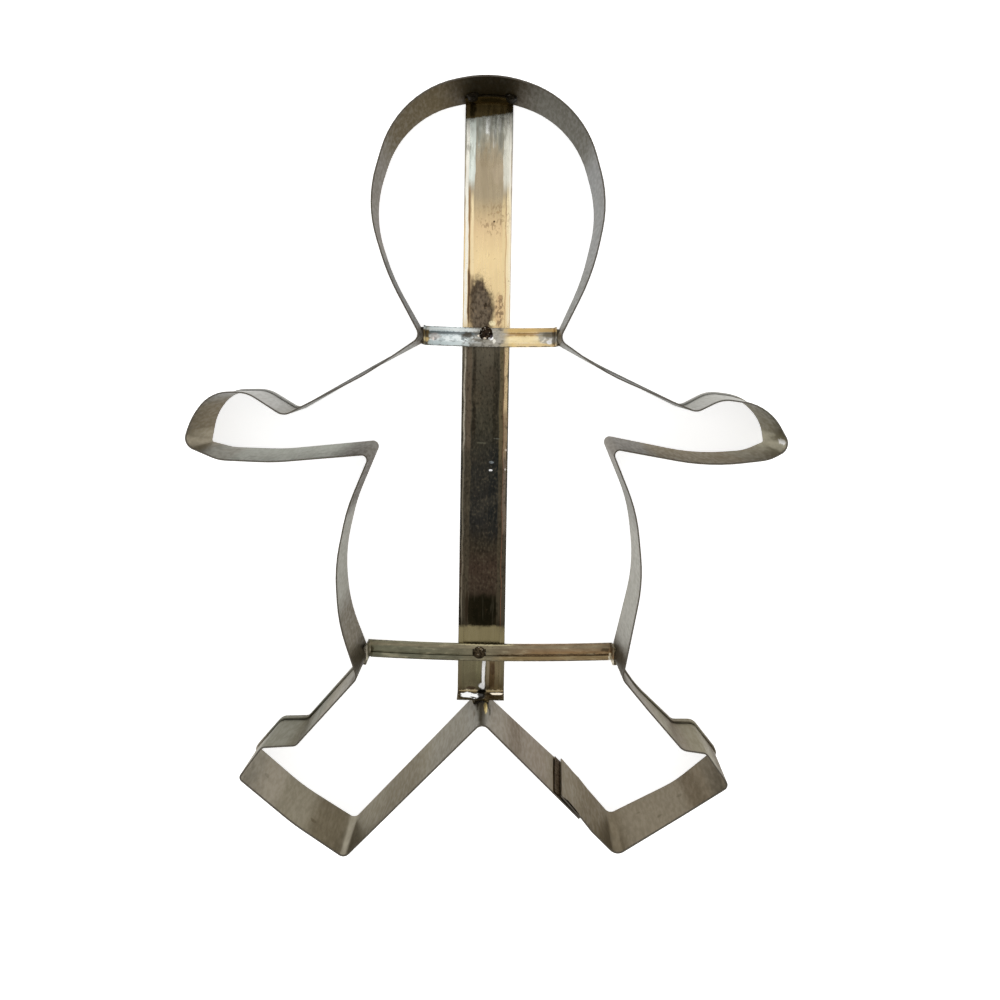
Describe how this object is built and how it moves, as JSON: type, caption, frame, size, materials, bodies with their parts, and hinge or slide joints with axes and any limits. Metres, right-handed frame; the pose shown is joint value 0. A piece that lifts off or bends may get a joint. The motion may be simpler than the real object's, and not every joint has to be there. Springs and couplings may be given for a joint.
{
  "type": "cookie cutter",
  "caption": "Large outline cookie cutter in the shape of a gingerbread man, a hemmed band with a flat strap and cross braces soldered across its back.",
  "frame": {"origin": "on the surface that the cutter rests on, under the middle of the outline's bounding box, with the strap's flat back and the band's back edge on that surface", "axes": "+Z from the back edge to the cutting edge, +Y along the strap from the crotch to the top of the head, +X to the right as seen from the cutting side"},
  "size_m": [0.1594, 0.208, 0.0254],
  "materials": {
    "band_tinplate": "tarnished tinplate, smooth, with faint specks",
    "strap_tinplate": "worn tinplate with bright and brown stained patches",
    "brace_tinplate": "tarnished tinplate, brown toward the ends",
    "solder": "dark, slightly lumpy solder"
  },
  "bodies": {
    "root": {"outline_band": "band_tinplate", "strap_handle": "strap_tinplate", "neck_brace": "brace_tinplate", "hip_brace": "brace_tinplate", "lap_solder": "solder", "neck_dome_solder": "solder", "hip_dome_solder": "solder", "neck_pad_solder": "solder", "hip_pad_solder": "solder", "neck_left_solder": "solder", "neck_right_solder": "solder", "hip_left_solder": "solder", "hip_right_solder": "solder", "top_left_weld": "solder", "top_right_weld": "solder", "crotch_solder": "solder"}
  },
  "joints": []
}
